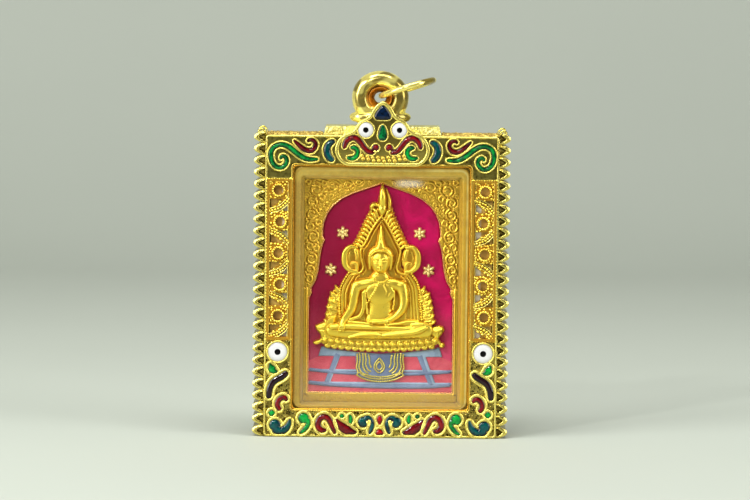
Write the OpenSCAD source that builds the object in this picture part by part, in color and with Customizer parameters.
// Standing casing for a relief amulet: a gilt frame with enamel cells, a clear case and a bail.
// X runs to the right, Z runs up and the front faces -Y. The frame stands on Z = 0.

/* [Frame] */
// Width of the frame across its smooth sides
frame_w = 40; // [39:0.5:44]
// Height of the frame at its front
frame_h = 52; // [50:0.5:56]
// Depth of the frame, front plate to back
frame_d = 9; // [8.6:0.2:12]
// Thickness of the ornamented front plate
front_t = 1.2; // [1:0.1:1.5]
// Thickness of the frame's outer walls
wall_t = 1; // [0.8:0.1:1.3]
// Width of the bands left and right of the window
side_band = 4.7; // [4.5:0.1:5.3]
// Height of the band above the window
top_band = 5.1; // [4.8:0.1:6]
// Height of the band below the window
bottom_band = 4.7; // [4.4:0.1:5.4]

/* [Side teeth] */
// Teeth on each side
tooth_n = 26; // [20:1:30]
// Thickness of the strip that carries the teeth
strip_t = 0.8; // [0.6:0.1:1.2]
// Height of a tooth above its strip
tooth_h = 1.1; // [0.8:0.1:1.6]
// How far the strips rise above the frame
strip_rise = 0.6; // [0.2:0.1:1]
// Depth of the toothed strips
strip_d = 8; // [6:0.2:8.4]

/* [Enamel cells] */
// Width of the gold wall round a cell
cell_wall = 0.24; // [0.18:0.02:0.3]
// Height of the walls above the ground
relief = 0.3; // [0.2:0.05:0.45]
// Depth of a cell below the ground
cell_depth = 0.45; // [0.3:0.05:0.6]
// Depth of the enamel's face below the wall's top
enamel_drop = 0.08; // [0.04:0.02:0.12]
// Clearance all round a piece of enamel
enamel_gap = 0.03; // [0.02:0.01:0.06]
// Radius of the white eyes beside the window
side_eye_r = 1.65; // [1.4:0.05:1.7]
// Radius of the pupils beside the window
side_pupil_r = 0.5; // [0.4:0.05:0.6]

/* [Filigree panels] */
// Height of the panels' lower edge above the base
panel_foot = 16.8; // [16.6:0.2:20]
// Drop from the window's top edge to the panels' upper edge
panel_drop = 2.4; // [2.2:0.1:4]
// Cells in each panel, each with a ring and a slanting bar
filigree_n = 5; // [3:1:5]
// Radius of the round openings
filigree_r = 0.8; // [0.6:0.05:0.95]
// Width of the filigree's wires
filigree_wire = 0.45; // [0.35:0.05:0.55]

/* [Crest] */
// Width of the crest
crest_w = 16; // [14:0.5:18]
// Height of the crest above the window
crest_h = 11.05; // [10:0.05:11.2]
// Thickness of the crest
crest_t = 1.9; // [1.5:0.1:2.4]
// How far the crest's face stands proud of the front plate
crest_proud = 0.3; // [0.1:0.05:0.5]
// Width of the raised rim round the crest
crest_rim = 0.35; // [0.25:0.05:0.45]
// Radius of the crest's white eyes
crest_eye_r = 1.3; // [1.1:0.05:1.35]
// Radius of the crest's pupils
crest_pupil_r = 0.45; // [0.35:0.05:0.55]

/* [Bail] */
// Width of the block on the frame's top
block_w = 20; // [18:0.5:22]
// Height of the block
block_h = 1.5; // [1.2:0.1:2]
// Depth of the block
block_d = 5.8; // [5:0.2:6]
// Sideways place of the bail
bail_x = -0.45; // [-0.6:0.05:0.6]
// Outer radius of the bail's eyelet
bail_r = 4.55; // [4.3:0.05:4.7]
// Radius of the bail's eye
eye_r = 1.9; // [1.7:0.05:2]
// Depth of the eyelet
bail_d = 3.8; // [3.2:0.1:4.2]
// Height of the eye's centre above the bail's flange
eye_lift = 2.8; // [2.6:0.1:3.2]
// Width of the oval flange
flange_w = 10.6; // [9.4:0.2:11.4]
// Depth of the oval flange
flange_d = 5.6; // [5:0.2:5.8]
// Thickness of the flange
flange_t = 0.8; // [0.6:0.1:1.2]
// Height of the neck below the flange
neck_h = 1.4; // [1:0.1:2]
// Radius of the peg that seats in the block
peg_r = 1.2; // [0.9:0.1:1.5]
// Length of the peg
peg_l = 1.1; // [0.8:0.1:1.1]

/* [Jump ring] */
// Mean radius of the ring
ring_r = 4.67; // [4.5:0.01:4.9]
// Diameter of the ring's wire
ring_wire = 0.9; // [0.7:0.05:1]
// Distance from the bail's eye to the ring's centre
ring_out = 4.84; // [4.7:0.02:4.9]
// Angle at which the ring stands above the level
ring_rise = 17.5; // [5:0.5:40]
// Lean of the ring about its own long line
ring_lean = -4.8; // [-8:0.2:8]

/* [Clear case] */
// Overlap of the case's flange behind the window's edge
case_lap = 1.6; // [1.2:0.1:2]
// Thickness of the case's side walls
case_wall = 3.3; // [3:0.1:3.8]
// Thickness of the case's clear face
case_face_t = 1; // [0.8:0.1:1.3]
// Clearance between the case's face and the window's edge
case_gap = 0.25; // [0.15:0.05:0.35]
// Depth of the case's face behind the front plate's face
case_set = 0.4; // [0.2:0.05:0.6]
// Drop of the case's hollow below the window's middle
case_drop = 0.9; // [0.5:0.1:1]
// Corner radius of the case's face
case_r = 1.2; // [0.8:0.1:1.6]
// Thickness of the case's back
case_back_t = 1.2; // [1:0.1:1.4]
// Thickness of the frame's back plate
back_t = 1; // [0.8:0.1:1.2]
// Clearance between pieces that lie against each other
fit_gap = 0.05; // [0.03:0.01:0.08]

/* [Amulet] */
// Clearance between the amulet and the case's hollow
amulet_gap = 0.15; // [0.1:0.05:0.3]
// Thickness of the amulet's plate
amulet_t = 1.8; // [1.4:0.1:2]
// Height of the scrolled border above the plate
border_relief = 0.4; // [0.2:0.05:0.5]
// Depth of the niche below the plate's face
niche_depth = 0.4; // [0.3:0.05:0.5]
// Height of the panel behind the figure, above the plate
aureole_relief = 0.5; // [0.3:0.05:0.7]
// Width of the beads of the lotus seat
lotus_bead = 0.86; // [0.7:0.02:1]
// Thickness of the enamel bands on the plinth
band_t = 0.14; // [0.1:0.02:0.2]

/* [Hidden] */
gold = "goldenrod";
$fn = 40;
// A hair by which a cut runs past the face that it opens
past = 0.2;

// Plan sizes
half_w = frame_w / 2;
window_w = frame_w - 2 * side_band;
window_h = frame_h - top_band - bottom_band;
window_half = window_w / 2;
window_top = bottom_band + window_h;
window_mid = bottom_band + window_h / 2;
window_r = 0.5;
strip_h = frame_h + strip_rise;
tooth_pitch = strip_h / tooth_n;
// Outline of a tooth. Columns: out in shares of its height, up in shares of the pitch
TOOTH = [[0, 0.04], [0.5, 0.2], [0.9, 0.36], [1, 0.5], [0.9, 0.64], [0.5, 0.8], [0, 0.96]];

// Filigree panels: the wires' outer lines, and the cells in shares of a cell's height
panel_top = window_top - panel_drop;
panel_in = window_half + 0.1;
panel_out = half_w - 0.3;
panel_mid = (panel_in + panel_out) / 2;
panel_margin = 0.35;
filigree_cell_h = (panel_top - panel_foot - 2 * panel_margin) / filigree_n;
filigree_ring_at = 0.3;
filigree_bar_top = 0.58;
filigree_bar_foot = 0.97;
filigree_shift = 0.15;

// Levels in depth, front to back
front_y = -frame_d / 2;
wall_y = front_y - relief;
enamel_y = wall_y + enamel_drop;
cell_y = front_y + cell_depth;
plate_y = front_y + front_t;
crest_y = front_y - crest_proud;
case_y = front_y + case_set;
back_y = frame_d / 2;
back_plate_y = back_y - back_t;
case_back_y = back_plate_y - fit_gap - case_back_t;
case_split_y = case_back_y - fit_gap;
hollow_y = case_y + case_face_t;
amulet_y = case_split_y - amulet_t;
niche_y = amulet_y + niche_depth;
aureole_y = amulet_y - aureole_relief;
// The amulet's highest relief stays this far behind the case's face
figure_clear = 0.3;
// The enamel of the niche stays this far below the plate's face
enamel_skin = 0.1;
band_y = amulet_y + enamel_skin - enamel_gap;
drape_t = 0.3;
drape_y = band_y - band_t - enamel_gap;

// Heights
block_z = frame_h;
bail_z = block_z + block_h + fit_gap;
flange_z = bail_z + neck_h;
eye_z = flange_z + flange_t + eye_lift;

// The block narrows upwards, and the bail's neck is set in from its flange
block_foot = 0.2;
block_taper = 0.3;
neck_inset = 0.45;
saddle_w = 0.72 * flange_w;
saddle_d = 0.8 * bail_d;
saddle_h = eye_lift / 2;
bail_edge_r = 1.1;

// Case and amulet
case_half = window_half + case_lap;
hollow_half = case_half - case_wall;
case_extra_h = 0.4;
hollow_h = window_h + 2 * (case_lap - case_wall) + case_extra_h;
hollow_mid = window_mid - case_drop;
case_h = hollow_h + 2 * case_wall;
amulet_half = hollow_half - amulet_gap;
amulet_h = hollow_h - 2 * amulet_gap;
amulet_z = hollow_mid - amulet_h / 2;
// Inset of the scrolled border from the plate's edges and from the niche
border_inset = 0.15;
border_ring_proud = 0.2;
rosette_proud = 0.15;
rib_w = 0.24;
rib_proud = 0.15;

// Enamel strokes beside the window and on the bands.
// Columns: across in percent of half the frame's width, up in percent of the band's height,
// width in percent of the band's height.
GREEN_SCROLL = [
    [54.5, 20.5, 9], [60, 18.5, 15], [65, 20.5, 17], [70, 30.5, 18], [75, 45, 18],
    [80, 60, 18], [85, 67.5, 17], [89, 66.5, 17], [92.5, 60, 17], [95, 46, 17],
    [95.5, 28.5, 17], [94.5, 10, 17], [92, -3, 16], [88.5, -10, 16], [85, -8, 15],
    [82.5, 2, 15], [81.5, 14.5, 15], [83, 26.5, 14], [85.5, 30, 13], [87, 23, 11],
    [86.5, 15, 6]
];
RED_SCROLL = [
    [76.5, 85, 4], [74, 76, 10], [71, 65, 14], [67.5, 54, 16], [64, 48, 17], [60.5, 49, 17],
    [58, 57, 15], [57, 68, 14], [58, 79, 13], [60.5, 85, 12], [63.5, 83, 10], [64, 74, 5]
];
BLUE_CRESCENT = [
    [41, 81, 10], [44.5, 75.5, 17], [47, 62.5, 20], [47.5, 47, 21], [46.5, 31.5, 21],
    [44, 20.5, 18], [41.5, 16.5, 9]
];
CORNER_COMMA_TAIL = [
    [91, 30, 24], [87.5, 22, 27], [83.5, 23, 27], [80, 33, 22], [78, 49, 15], [77, 67, 4]
];
CORNER_COMMA_BULB = [90, 43, 20];
GREEN_COMMA_TAIL = [
    [62, 66, 15], [61.5, 50, 16], [63.5, 33, 15], [66.5, 20, 11], [69.5, 11, 3]
];
GREEN_COMMA_BULB = [65.5, 69, 19];
RED_LOOP = [
    [46, 27, 9], [49.5, 25.5, 17], [52.5, 36, 19], [53, 53, 19], [51, 70, 19], [47.5, 76, 19],
    [44, 68, 18], [41.5, 49, 17], [39.5, 28, 13], [38, 11, 5]
];
RED_LEAF = [
    [37.5, 68, 2], [35, 52, 16], [31.5, 37, 27], [27.5, 26, 28], [23.5, 20.5, 17], [19.5, 19, 2]
];
GREEN_DOT = [[34.5, 80, 3], [32.5, 79, 14], [30.5, 77, 3]];
GREEN_BEAN = [[26, 85, 4], [25, 72, 11], [25, 60, 11], [26, 49, 4]];
BLUE_COMMA_TAIL = [
    [13, 70, 15], [10, 73, 15], [7.5, 64, 15], [6.5, 49, 14], [7, 34, 12], [8, 21, 9], [9.5, 13, 3]
];
BLUE_COMMA_BULB = [14, 57, 18];
BASE_DROP = [[0, 82, 7], [0, 72, 18], [0, 62, 16], [0, 53, 8], [0, 46, 2]];
BASE_DOT = [0, 18, 13];

// Enamel beside the window's lower part.
// Columns: across in percent of the side band from the window's edge, up in percent of the
// panel's foot, width or radius in percent of the side band.
SIDE_EYE = [50, 87.5, 35];
SIDE_LEAF = [[79, 76, 3], [75, 73, 14], [70, 70, 27], [64, 68, 20], [56, 67.3, 11], [47, 67.3, 2]];
SIDE_WAVE = [
    [17, 67, 12], [22, 64.5, 17], [36, 61.5, 18], [52, 59, 18], [66, 56, 18], [75, 51.5, 17],
    [79.5, 46.5, 17], [81, 40, 14]
];
SIDE_HOOK = [
    [15, 37, 9], [20, 40, 15], [32, 40.5, 17], [43.5, 38, 17], [49, 34.5, 17], [47, 30.5, 17],
    [38, 27.5, 13]
];
SIDE_DIAMOND = [70, 24.5, 12];

// The crest, a half of it.
// Columns: across in percent of half its width, up in percent of its height, width in
// percent of its height.
CREST_EDGE = [
    [77.5, 0], [91, 7], [99, 17], [100, 27], [95, 38], [85, 46], [72.5, 50], [62.5, 53],
    [57, 58], [52.5, 65], [44, 70.5], [34, 73.5], [26, 78], [20, 87], [11, 95], [0, 100]
];
CREST_EYE = [36, 55.5, 12];
CREST_TOP_DROP = [[0, 94, 2], [0, 89.5, 11], [0, 84, 19], [0, 79, 25], [0, 74.5, 26], [0, 71.5, 20]];
CREST_GREEN_DROP = [[0, 64, 1], [0, 59, 7], [0, 52.5, 11], [0, 47, 13.5], [0, 42.5, 12], [0, 39.5, 6]];
CREST_MOUSTACHE = [
    [82, 26, 4], [80, 33.5, 6.5], [74, 40, 7], [64, 43.5, 7], [54.5, 41.5, 7], [46.5, 35.5, 7],
    [40, 29, 6.5], [32.5, 23, 6.5], [24.5, 21, 7], [18, 23, 7]
];
CREST_MOUSTACHE_BULB = [14.5, 28, 5];
CREST_CURL = [
    [69, 27.5, 4], [60, 28, 7], [53.5, 23.5, 7], [53.5, 17, 7], [60, 12, 7], [69, 11, 6.5],
    [76, 13.5, 3.5]
];
// Pairs of grains along the crest's foot, with their spread as a share of the crest's width
grain_n = 8;
grain_spread = 0.44;
grain_r = 0.4;
GRAIN_ROWS = [5.5, 12];

// The amulet. Columns: across in percent of half its width, up in percent of its height.
NICHE_EDGE = [
    [93, 4.5], [93, 46.5], [89.5, 49], [90.5, 51], [84.5, 54.5], [81.5, 58.5], [80, 62.5],
    [78, 68], [75.5, 71], [73.5, 72.5], [76, 74], [76, 77], [74.5, 80.5], [70, 84.5],
    [62.5, 88], [52, 91], [37.5, 93.5], [16.5, 96], [0, 98]
];
AUREOLE_EDGE = [
    [0, 22], [30, 22.6], [50, 23.4], [71.5, 24.5], [76, 26], [82, 25], [86, 26.5], [79, 29],
    [75.5, 30], [81, 32], [83, 34.5], [77.5, 35.5], [70, 37.5], [69.5, 40], [65.5, 42.5],
    [67, 45], [64, 48], [62, 50.5], [56.5, 53], [51.5, 53], [47.5, 55.5], [44, 57.5],
    [46, 59.5], [50, 62], [52, 65], [49, 68], [42, 70], [34.5, 70.5], [30.5, 73], [25.5, 77.5],
    [18.5, 83], [12, 88], [7, 89], [4, 93], [0.5, 96.5]
];
ARCH_EDGE = [
    [26, 59], [28, 62], [26, 66], [26, 69.5], [24, 72], [16.5, 76.5], [8, 81], [0, 83.5]
];
PLINTH_EDGE = [[93, 4.5], [93, 18.5]];
BAND_TOP = [[80, 20.6], [76, 25]];
// Level bands. Columns: up, height in percent of the amulet's height
BAND_LINES = [[8, 1.2], [13.8, 1]];
// Slanting bands. Columns: across and up of each end, width in percent of half the width
BAND_SLANTS = [[54, 21.5, 68, 8.5, 7]];
DRAPE_EDGE = [[28, 23.5], [28, 17], [29, 14], [20, 11.5], [10, 10.2], [0, 9.8]];
// Ribs of the drape, across
DRAPE_RIBS = [21, 14];
// Limbs of the seated figure, each a tapered bar between two balls.
// Columns: across and up of one end, across and up of the other, the two radii in percent of
// half the width, and how far the two balls' middles stand above the plate, in the same percent.
LIMBS = [
    [-20, 54, 20, 54, 11, 11, 5, 5], [-12, 52, 0, 42, 14, 13, 4, 5], [12, 52, 0, 42, 14, 13, 4, 5],
    [0, 58, 0, 55, 6, 7, 6, 5], [0, 66.5, 0, 62, 10.5, 8.5, 8, 8], [0, 71, 0, 78, 5.5, 2, 6, 3],
    [-32, 53, -38, 44, 8, 8, 5, 7], [-38, 44, -52, 37, 8, 5, 7, 10],
    [31, 53, 34, 43.5, 8, 8, 5, 8], [34, 43.5, 8, 38.5, 8, 5, 8, 11],
    [-58, 34, 20, 35.5, 7, 7, 6, 7], [56, 33.5, -24, 31.5, 7.5, 6, 6, 7]
];
// Small rosettes in the four places beside the arch
ROSETTES = [[-51, 76.5], [51, 76.5], [-65, 59.5], [62, 59.5]];
rosette_r = 4.5;
// Bead rows of the lotus seat. Columns: up at the ends, half span, sag in the middle
LOTUS_ROWS = [[28.4, 72, 1.2], [25.9, 74, 3.2]];
// Scroll rings of the border. Columns: across, up, radius in percent of half the width
BORDER_RINGS = [
    [62, 96.2, 5], [84, 95, 7], [90, 84, 6.5], [88, 74, 6], [90, 64, 6.5], [93, 55, 5]
];

// A rounded rectangle's corner points, about its own middle
function round_box(w, h, r, n = 6) = [
    for (c = [0:3])
        let (sx = (c == 0 || c == 3) ? 1 : -1, sy = c < 2 ? 1 : -1)
        for (k = [0:n])
            let (a = 90 * (c + k / n))
            [sx * (w / 2 - r) + r * cos(a), sy * (h / 2 - r) + r * sin(a)]
];

// A point between p1 and p2 on a smooth curve through all four
function blend(p0, p1, p2, p3, t) =
    0.5 * (2 * p1 + (p2 - p0) * t + (2 * p0 - 5 * p1 + 4 * p2 - p3) * t * t
        + (3 * p1 - p0 - 3 * p2 + p3) * t * t * t);

// The rows of a table with steps more rows between each two of them
function smooth(rows, steps) = let (last = len(rows) - 1) [
    for (i = [0:last - 1], j = [0:steps - 1])
        blend(rows[max(i - 1, 0)], rows[i], rows[i + 1], rows[min(i + 2, last)], j / steps),
    rows[last]
];

// Rows in percent turned into millimetres
function on_band(rows, base, band) = [
    for (r = rows) [half_w * r[0] / 100, base + band * r[1] / 100, band * r[2] / 100]
];
function on_side(rows) = [
    for (r = rows)
        [window_half + side_band * r[0] / 100, panel_foot * r[1] / 100, side_band * r[2] / 100]
];
function on_crest(rows) = [
    for (r = rows)
        [crest_w / 2 * r[0] / 100, window_top + crest_h * r[1] / 100, crest_h * r[2] / 100]
];
function on_amulet(p) = [amulet_half * p[0] / 100, amulet_z + amulet_h * p[1] / 100];
function top_row(rows) = on_band(rows, window_top, top_band);
function base_row(rows) = on_band(rows, 0, bottom_band);

// The outline of a stroke whose rows hold x, z and width
function across(path, i) = let (
        a = path[max(i - 1, 0)],
        b = path[min(i + 1, len(path) - 1)],
        d = [b[0] - a[0], b[1] - a[1]]
    ) [-d[1], d[0]] / norm(d);
function side_of(path, i, s) =
    [path[i][0], path[i][1]] + s * path[i][2] / 2 * across(path, i);
function outline(path) = let (last = len(path) - 1) concat(
    [for (i = [0:last]) side_of(path, i, 1)],
    [for (i = [last:-1:0]) side_of(path, i, -1)]
);

// A half outline and its mirror image as one closed outline
function both(half) = concat(half, [
    for (i = [len(half) - 1:-1:0])
        if (abs(half[i][0]) > 0.01) [-half[i][0], half[i][1]]
]);

module pair() {
    children();
    mirror([1, 0, 0]) children();
}

// A flat shape drawn in X and Z, made solid between two depths
module slab(y0, y1) {
    translate([0, y1, 0]) rotate([90, 0, 0]) linear_extrude(height = y1 - y0) children();
}

// Flat shapes merged into one outline
module joined() offset(delta = 0) children();

module stroke(rows, steps = 2) {
    polygon(outline(smooth(rows, steps)));
}

module dot(row) {
    translate([row[0], row[1]]) circle(r = row[2]);
}

// The cells, one flat shape each
module green_scroll_cell() stroke(top_row(GREEN_SCROLL));
module red_scroll_cell() stroke(top_row(RED_SCROLL));
module blue_crescent_cell() stroke(top_row(BLUE_CRESCENT));
module corner_comma_cell() {
    stroke(base_row(CORNER_COMMA_TAIL));
    dot(base_row([CORNER_COMMA_BULB])[0]);
}
module green_comma_cell() {
    stroke(base_row(GREEN_COMMA_TAIL));
    dot(base_row([GREEN_COMMA_BULB])[0]);
}
module red_loop_cell() stroke(base_row(RED_LOOP));
module red_leaf_cell() stroke(base_row(RED_LEAF));
module green_dot_cell() stroke(base_row(GREEN_DOT), 3);
module green_bean_cell() stroke(base_row(GREEN_BEAN), 3);
module blue_comma_cell() {
    stroke(base_row(BLUE_COMMA_TAIL));
    dot(base_row([BLUE_COMMA_BULB])[0]);
}
module base_drop_cell() stroke(base_row(BASE_DROP));
module base_dot_cell() dot(base_row([BASE_DOT])[0]);
module side_eye_cell() {
    eye = on_side([SIDE_EYE])[0];
    dot([eye[0], eye[1], side_eye_r]);
}
module side_pupil_shape() {
    eye = on_side([SIDE_EYE])[0];
    dot([eye[0], eye[1], side_pupil_r]);
}
module side_leaf_cell() stroke(on_side(SIDE_LEAF));
module side_wave_cell() stroke(on_side(SIDE_WAVE));
module side_hook_cell() stroke(on_side(SIDE_HOOK));
module side_diamond_cell() {
    row = on_side([SIDE_DIAMOND])[0];
    translate([row[0], row[1]]) circle(r = row[2], $fn = 4);
}
module crest_eye_cell() {
    eye = on_crest([CREST_EYE])[0];
    dot([eye[0], eye[1], crest_eye_r]);
}
module crest_pupil_shape() {
    eye = on_crest([CREST_EYE])[0];
    dot([eye[0], eye[1], crest_pupil_r]);
}
module crest_top_drop_cell() stroke(on_crest(CREST_TOP_DROP));
module crest_green_drop_cell() stroke(on_crest(CREST_GREEN_DROP));
module crest_moustache_cell() {
    stroke(on_crest(CREST_MOUSTACHE));
    dot(on_crest([CREST_MOUSTACHE_BULB])[0]);
}
module crest_curl_cell() stroke(on_crest(CREST_CURL));

// All the cells of the front plate, and all those of the crest
module plate_cells() {
    pair() {
        green_scroll_cell();
        red_scroll_cell();
        blue_crescent_cell();
        corner_comma_cell();
        green_comma_cell();
        red_loop_cell();
        red_leaf_cell();
        green_dot_cell();
        green_bean_cell();
        blue_comma_cell();
        side_eye_cell();
        side_leaf_cell();
        side_wave_cell();
        side_hook_cell();
        side_diamond_cell();
    }
    base_drop_cell();
    base_dot_cell();
}

module crest_cells() {
    pair() {
        crest_eye_cell();
        crest_moustache_cell();
        crest_curl_cell();
    }
    crest_top_drop_cell();
    crest_green_drop_cell();
}

module crest_shape() {
    half = [for (r = smooth(CREST_EDGE, 2)) [crest_w / 2 * r[0] / 100, window_top + crest_h * r[1] / 100]];
    polygon(both(half));
}

// Enamel fills a cell with a clearance all round and below
module enamel(proud = 0) {
    slab(enamel_y - proud, cell_y - proud - enamel_gap) offset(delta = -enamel_gap) children();
}

// The white of an eye, holed for its pupil
module enamel_eye(pupil_r, eye, eye_r, proud) {
    slab(enamel_y - proud, cell_y - proud - enamel_gap) difference() {
        dot([eye[0], eye[1], eye_r - enamel_gap]);
        dot([eye[0], eye[1], pupil_r + enamel_gap]);
    }
}

// One toothed strip, drawn on the right side
module toothed_strip() {
    slab(-strip_d / 2, strip_d / 2) polygon(concat(
        [[half_w - past, 0]],
        [
            for (k = [0:tooth_n - 1], row = TOOTH)
                [half_w + strip_t + tooth_h * row[0], tooth_pitch * (k + row[1])]
        ],
        [[half_w - past, strip_h]]
    ));
}

// One panel's cells, on the right side: the level at a share of cell k's height, its lean
// to one side or the other, and its ring's middle
function cell_z(k, share) = panel_top - panel_margin - filigree_cell_h * (k + share);
function lean_of(k) = k % 2 == 0 ? 1 : -1;
function ring_at(k) = [panel_mid + filigree_shift * lean_of(k), cell_z(k, filigree_ring_at)];

// Each cell has a round opening, and two three-cornered ones beside its slanting bar
module filigree_openings() {
    half = (panel_out - panel_in) / 2 - filigree_wire;
    for (k = [0:filigree_n - 1]) {
        a = cell_z(k, filigree_bar_top);
        b = cell_z(k, filigree_bar_foot);
        out = lean_of(k) * half;
        translate(ring_at(k)) circle(r = filigree_r, $fn = 12);
        polygon([
            [panel_mid + out, a], [panel_mid - 0.4 * out, a], [panel_mid + out, b + 0.2 * (a - b)]
        ]);
        polygon([
            [panel_mid - out, b], [panel_mid + 0.4 * out, b], [panel_mid - out, a - 0.2 * (a - b)]
        ]);
    }
}

// Raised edges and rings of one panel
module filigree_wires() {
    for (x = [panel_in, panel_out - filigree_wire])
        translate([x, panel_foot]) square([filigree_wire, panel_top - panel_foot]);
    for (z = [panel_foot, panel_top - filigree_wire])
        translate([panel_in, z]) square([panel_out - panel_in, filigree_wire]);
    for (k = [0:filigree_n - 1])
        translate(ring_at(k)) circle(r = filigree_r + filigree_wire, $fn = 12);
}

module frame_shell() {
    difference() {
        translate([-half_w, front_y, 0]) cube([frame_w, frame_d, frame_h]);
        translate([-half_w + wall_t, plate_y, wall_t])
            cube([frame_w - 2 * wall_t, frame_d, frame_h - 2 * wall_t]);
        translate([0, 0, window_mid])
            slab(front_y - past, plate_y + past) polygon(round_box(window_w, window_h, window_r, 3));
        pair() slab(front_y - past, plate_y + past) filigree_openings();
    }
}

// The ridges of the front: cell walls and filigree wires
module frame_relief() {
    slab(wall_y, front_y + past) difference() {
        union() {
            offset(delta = cell_wall) plate_cells();
            pair() filigree_wires();
        }
        joined() pair() filigree_openings();
        crest_shape();
    }
}

// Behind the front plate the crest would stand in the case's way, so its full thickness
// starts at the frame's top wall
module crest() {
    slab(crest_y, crest_y + crest_t) difference() {
        crest_shape();
        translate([-half_w, 0]) square([frame_w, frame_h - wall_t]);
    }
    slab(crest_y, front_y + past) crest_shape();
    slab(crest_y - relief, crest_y + past) difference() {
        crest_shape();
        difference() {
            offset(delta = -crest_rim) crest_shape();
            offset(delta = cell_wall) crest_cells();
        }
    }
    for (k = [0:grain_n - 1], up = GRAIN_ROWS)
        translate([
            crest_w * grain_spread * (k / (grain_n - 1) - 0.5), crest_y + past,
            window_top + crest_h * up / 100
        ]) rotate([90, 0, 0]) cylinder(r = grain_r, h = relief + past, $fn = 8);
}

module top_block() {
    foot = block_w / 2 + block_foot;
    top = block_w / 2 - block_taper;
    slab(-block_d / 2, block_d / 2) polygon([
        [-foot, block_z - past], [foot, block_z - past],
        [top, block_z + block_h], [-top, block_z + block_h]
    ]);
}

module frame() {
    color(gold) difference() {
        union() {
            difference() {
                union() {
                    frame_shell();
                    frame_relief();
                }
                slab(wall_y - past, cell_y) joined() plate_cells();
            }
            crest();
            top_block();
            pair() toothed_strip();
        }
        slab(crest_y - relief - past, cell_y - crest_proud) joined() crest_cells();
        translate([bail_x, 0, block_z + block_h - peg_l - fit_gap])
            cylinder(r = peg_r + fit_gap, h = peg_l + past);
    }
}

module back_plate() {
    w = frame_w - 2 * wall_t - 2 * fit_gap;
    h = frame_h - 2 * wall_t - 2 * fit_gap;
    color(gold) translate([-w / 2, back_plate_y, wall_t + fit_gap]) cube([w, back_t, h]);
}

// The eyelet's section is a rounded box between the eye and the outer edge
module bail() {
    mid_r = (eye_r + bail_r) / 2;
    color(gold) translate([bail_x, 0, 0]) {
        translate([0, 0, eye_z]) rotate([90, 0, 0]) rotate_extrude()
            translate([mid_r, 0]) polygon(round_box(bail_r - eye_r, bail_d, bail_edge_r, 5));
        difference() {
            union() {
                translate([0, 0, flange_z]) oval(flange_w, flange_d, flange_t);
                translate([0, 0, bail_z])
                    oval(flange_w - 2 * neck_inset, flange_d - 2 * neck_inset, neck_h + past);
                translate([-saddle_w / 2, -saddle_d / 2, flange_z])
                    cube([saddle_w, saddle_d, saddle_h]);
            }
            translate([0, 0, eye_z]) rotate([90, 0, 0])
                cylinder(r = mid_r, h = bail_d * 2, center = true);
        }
        translate([0, 0, bail_z - peg_l + fit_gap]) cylinder(r = peg_r, h = peg_l + past);
    }
}

// An oval plate, its outline drawn by formula
module oval(w, d, h) {
    linear_extrude(height = h) polygon([for (a = [0:12:348]) [w / 2 * cos(a), d / 2 * sin(a)]]);
}

module jump_ring() {
    color(gold) translate([bail_x, 0, eye_z]) rotate([0, -ring_rise, 0])
        rotate([ring_lean, 0, 0]) translate([ring_out, 0, 0]) rotate_extrude()
            translate([ring_r, 0]) circle(r = ring_wire / 2);
}

module case_front() {
    color([0.9, 0.85, 0.6, 0.4]) difference() {
        union() {
            translate([0, 0, hollow_mid])
                slab(plate_y + fit_gap, case_split_y) square([2 * case_half, case_h], center = true);
            translate([0, 0, window_mid])
                slab(case_y, plate_y + 2 * fit_gap)
                    polygon(round_box(window_w - 2 * case_gap, window_h - 2 * case_gap, case_r));
        }
        translate([0, 0, hollow_mid])
            slab(hollow_y, case_split_y + past) square([2 * hollow_half, hollow_h], center = true);
    }
}

module case_back() {
    color([0.9, 0.85, 0.6, 0.4]) translate([0, 0, hollow_mid])
        slab(case_back_y, case_back_y + case_back_t) square([2 * case_half, case_h], center = true);
}

function edge_of(rows) = both([for (r = rows) on_amulet(r)]);

module niche_shape() polygon(edge_of(NICHE_EDGE));
module aureole_shape() polygon(edge_of(AUREOLE_EDGE));
module plinth_shape() polygon(edge_of(concat(PLINTH_EDGE, BAND_TOP)));

// A share of half the amulet's width, for radii and heights
function part_of(pct) = amulet_half * pct / 100;

module limb(row) {
    a = on_amulet([row[0], row[1]]);
    b = on_amulet([row[2], row[3]]);
    hull() {
        translate([a[0], amulet_y - part_of(row[6]), a[1]]) sphere(r = part_of(row[4]), $fn = 12);
        translate([b[0], amulet_y - part_of(row[7]), b[1]]) sphere(r = part_of(row[5]), $fn = 12);
    }
}

// Two sagging rows of beads under the figure
module lotus_seat() {
    for (row = LOTUS_ROWS) {
        span = 2 * part_of(row[1]);
        n = floor(span / lotus_bead);
        for (k = [0:n]) {
            t = 2 * k / n - 1;
            p = on_amulet([row[1] * t, row[0] - row[2] * (1 - t * t)]);
            translate([p[0], aureole_y, p[1]]) sphere(r = 0.53 * lotus_bead, $fn = 6);
        }
    }
}

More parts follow.
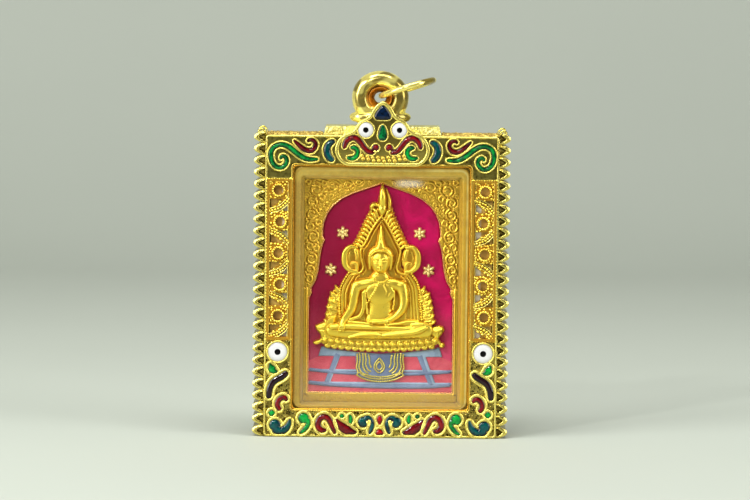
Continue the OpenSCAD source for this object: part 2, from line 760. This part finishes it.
module amulet() {
    color(gold) {
        difference() {
            translate([-amulet_half, amulet_y, amulet_z])
                cube([2 * amulet_half, amulet_t, amulet_h]);
            slab(amulet_y - past, niche_y) niche_shape();
        }
        slab(amulet_y - border_relief, amulet_y + past) difference() {
            translate([-amulet_half + border_inset, amulet_z + border_inset])
                square([2 * (amulet_half - border_inset), amulet_h - 2 * border_inset]);
            offset(delta = border_inset) niche_shape();
        }
        slab(aureole_y, niche_y + past) difference() {
            intersection() {
                aureole_shape();
                niche_shape();
            }
            polygon(edge_of(ARCH_EDGE));
        }
        slab(amulet_y, niche_y + past) polygon(edge_of(ARCH_EDGE));
        intersection() {
            union() {
                for (row = LIMBS) limb(row);
                lotus_seat();
            }
            slab(hollow_y + figure_clear, niche_y + past) aureole_shape();
        }
        for (p = ROSETTES) let (c = on_amulet(p))
            translate([c[0], niche_y + past, c[1]]) rotate([90, 0, 0])
                cylinder(r = part_of(rosette_r), h = niche_depth + past + rosette_proud, $fn = 8);
        pair() for (row = BORDER_RINGS) let (c = on_amulet(row), r = part_of(row[2]))
            slab(amulet_y - border_relief - border_ring_proud, amulet_y - border_relief + past)
                intersection() {
                    translate(c) difference() {
                        circle(r = r, $fn = 14);
                        circle(r = 0.5 * r, $fn = 14);
                    }
                    difference() {
                        translate([0, amulet_z + border_inset])
                            square([amulet_half - border_inset, amulet_h - 2 * border_inset]);
                        offset(delta = border_inset) niche_shape();
                    }
                }
    }
}

// The niche's enamel lies round the figure's panel, the rosettes and the plinth
module niche_enamel() {
    color("mediumvioletred") slab(amulet_y + enamel_skin, niche_y - enamel_gap) difference() {
        offset(delta = -enamel_gap) niche_shape();
        offset(delta = enamel_gap) aureole_shape();
        offset(delta = enamel_gap) plinth_shape();
        for (p = ROSETTES) translate(on_amulet(p)) circle(r = part_of(rosette_r) + enamel_gap, $fn = 8);
    }
}

module plinth_enamel() {
    color("palevioletred") slab(amulet_y + enamel_skin, niche_y - enamel_gap) difference() {
        offset(delta = -enamel_gap) plinth_shape();
        offset(delta = enamel_gap) aureole_shape();
    }
}

module plinth_bands() {
    color("lightsteelblue") slab(band_y - band_t, band_y) offset(delta = -enamel_gap) difference() {
        intersection() {
            plinth_shape();
            union() {
                polygon(edge_of(BAND_TOP));
                for (row = BAND_LINES) translate([-amulet_half, on_amulet([0, row[0]])[1]])
                    square([2 * amulet_half, part_of(3 * row[1])]);
                pair() for (row = BAND_SLANTS)
                    stroke([
                        concat(on_amulet([row[0], row[1]]), part_of(row[4])),
                        concat(on_amulet([row[2], row[3]]), part_of(row[4]))
                    ], 1);
            }
        }
        aureole_shape();
    }
}

module plinth_drape() {
    color("slategray") {
        slab(drape_y - drape_t, drape_y) difference() {
            polygon(edge_of(DRAPE_EDGE));
            offset(delta = enamel_gap) aureole_shape();
        }
        for (x = DRAPE_RIBS, s = [-1, 1]) let (foot = on_amulet([s * x, 13.5]))
            translate([foot[0] - rib_w / 2, drape_y - drape_t - rib_proud, foot[1]])
                cube([rib_w, 2 * rib_proud, 0.07 * amulet_h]);
    }
}

module green_scrolls() color("limegreen") pair() enamel() green_scroll_cell();
module red_scrolls() color("darkred") pair() enamel() red_scroll_cell();
module blue_crescents() color("darkcyan") pair() enamel() difference() {
    blue_crescent_cell();
    offset(delta = 0.1) crest_shape();
}
module crest_top_drop() color("midnightblue") enamel(crest_proud) crest_top_drop_cell();
module crest_green_drop() color("seagreen") enamel(crest_proud) crest_green_drop_cell();
module crest_eyes() color("white") pair()
    enamel_eye(crest_pupil_r, on_crest([CREST_EYE])[0], crest_eye_r, crest_proud);
module crest_pupils() color("black") pair() enamel(crest_proud) crest_pupil_shape();
module crest_moustache() color("firebrick") pair() enamel(crest_proud) crest_moustache_cell();
module crest_curls() color("limegreen") pair() enamel(crest_proud) crest_curl_cell();
module side_eyes() color("white") pair()
    enamel_eye(side_pupil_r, on_side([SIDE_EYE])[0], side_eye_r, 0);
module side_pupils() color("black") pair() enamel() side_pupil_shape();
module side_leaves() color("mediumseagreen") pair() enamel() side_leaf_cell();
module side_waves() color("indigo") pair() enamel() side_wave_cell();
module side_hooks() color("firebrick") pair() enamel() side_hook_cell();
module side_diamonds() color("mediumseagreen") pair() enamel() side_diamond_cell();
module corner_commas() color("darkcyan") pair() enamel() corner_comma_cell();
module green_commas() color("green") pair() enamel() green_comma_cell();
module red_loops() color("firebrick") pair() enamel() red_loop_cell();
module red_leaves() color("darkred") pair() enamel() red_leaf_cell();
module green_dots() color("limegreen") pair() enamel() green_dot_cell();
module green_beans() color("limegreen") pair() enamel() green_bean_cell();
module blue_commas() color("darkcyan") pair() enamel() blue_comma_cell();
module base_drop() color("firebrick") enamel() base_drop_cell();
module base_dot() color("firebrick") enamel() base_dot_cell();

frame();
back_plate();
bail();
jump_ring();
case_front();
case_back();
amulet();
niche_enamel();
plinth_enamel();
plinth_bands();
plinth_drape();
green_scrolls();
red_scrolls();
blue_crescents();
crest_top_drop();
crest_green_drop();
crest_eyes();
crest_pupils();
crest_moustache();
crest_curls();
side_eyes();
side_pupils();
side_leaves();
side_waves();
side_hooks();
side_diamonds();
corner_commas();
green_commas();
red_loops();
red_leaves();
green_dots();
green_beans();
blue_commas();
base_drop();
base_dot();
